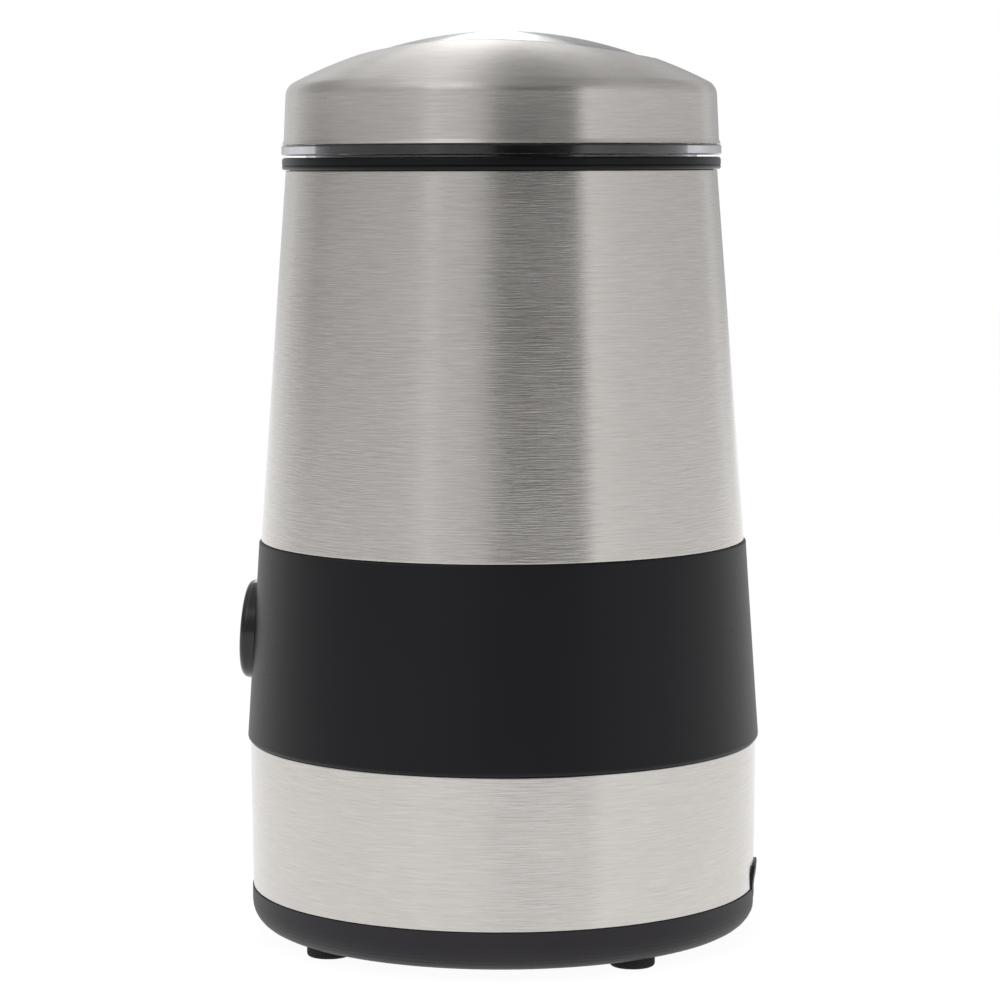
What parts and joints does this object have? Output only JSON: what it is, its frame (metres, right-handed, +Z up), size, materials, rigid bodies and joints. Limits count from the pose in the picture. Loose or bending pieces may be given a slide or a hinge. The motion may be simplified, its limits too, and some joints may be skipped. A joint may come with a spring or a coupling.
{
  "type": "electric spice grinder",
  "caption": "Tapered steel and black plastic blade grinder with a domed twist-lock lid, an oval window, a fixed steel bowl, a side push button and a series motor.",
  "frame": {"origin": "on the body's middle axis, on the plane that the feet stand on", "axes": "+Z up along the motor's shaft, -Y out through the button, +Y out through the lead outlet"},
  "size_m": [0.1054, 0.1068, 0.1853],
  "materials": {
    "brushed_steel": "brushed round the body, satin",
    "bowl_steel": "drawn sheet, satin",
    "black_plastic": "moulded, low sheen",
    "base_plastic": "moulded, low sheen",
    "button_plastic": "glossy",
    "clear_plastic": "clear, polished",
    "foot_rubber": "matt",
    "mount_rubber": "matt",
    "seal_silicone": "milky, matt",
    "zinc_steel": "zinc plated",
    "motor_iron": "stacked sheets, oiled",
    "copper": "enamelled copper",
    "bronze": "sintered",
    "carbon": "dull",
    "frame_plastic": "glass filled, dull",
    "white_acetal": "smooth",
    "fan_plastic": "smooth",
    "switch_plastic": "smooth",
    "red_plastic": "smooth",
    "blade_steel": "ground"
  },
  "bodies": {
    "body": {"base_cover": "base_plastic", "rubber_feet": "foot_rubber", "base_screws": "zinc_steel", "lower_sleeve": "brushed_steel", "main_housing": "black_plastic", "upper_sleeve": "brushed_steel", "top_collar": "black_plastic", "grinding_bowl": "bowl_steel", "shaft_seal": "mount_rubber", "motor_mounts": "mount_rubber", "motor_screws": "zinc_steel", "upper_bracket": "zinc_steel", "upper_bearing": "bronze", "stator_core": "motor_iron", "field_coils": "copper", "stator_bolts": "zinc_steel", "lower_bracket": "frame_plastic", "lower_bearing": "bronze", "brush_holders": "bronze", "carbon_brushes": "carbon", "brush_springs": "zinc_steel", "power_switch": "switch_plastic", "switch_bracket": "zinc_steel", "bracket_screws": "zinc_steel", "switch_screws": "zinc_steel", "button_spring": "zinc_steel", "safety_switch": "switch_plastic", "safety_spring": "zinc_steel"},
    "button": {"power_button": "button_plastic", "power_plunger": "red_plastic"},
    "lock_ring": {"lock_ring": "white_acetal"},
    "lid": {"lid_dome": "clear_plastic", "lid_cover": "brushed_steel", "lid_seal": "seal_silicone"},
    "safety_pin": {"safety_pin": "white_acetal", "safety_plunger": "red_plastic"},
    "rotor": {"motor_shaft": "blade_steel", "armature_core": "motor_iron", "armature_windings": "copper", "commutator": "copper", "cooling_fan": "fan_plastic", "blade_hub": "frame_plastic", "grinding_blade": "blade_steel", "blade_nut": "blade_steel"}
  },
  "joints": [
    {"name": "button_press", "type": "slide", "parent": "body", "child": "button", "axis": [0, 0.9979, -0.0647], "range_m": [0, 0.002], "stiffness_N_per_m": 600, "springref_m": -0.002, "deforming": ["button_spring"]},
    {"name": "lid_turn", "type": "hinge", "parent": "body", "child": "lock_ring", "pos_m": [0, 0, 0.1464], "axis": [0, 0, 1], "range_deg": [-25, 0]},
    {"name": "lid_lift", "type": "slide", "parent": "lock_ring", "child": "lid", "axis": [0, 0, 1], "range_m": [0, 0.07]},
    {"name": "pin_press", "type": "slide", "parent": "body", "child": "safety_pin", "axis": [0, 0, -1], "range_m": [0, 0.0024], "deforming": ["safety_spring"]},
    {"name": "rotor_spin", "type": "hinge", "parent": "body", "child": "rotor", "pos_m": [0, 0, 0.0853], "axis": [0, 0, 1], "continuous": true}
  ],
  "couplings": [
    {"joint": "pin_press", "follows": "lid_turn", "m_per_rad": -0.0055}
  ]
}
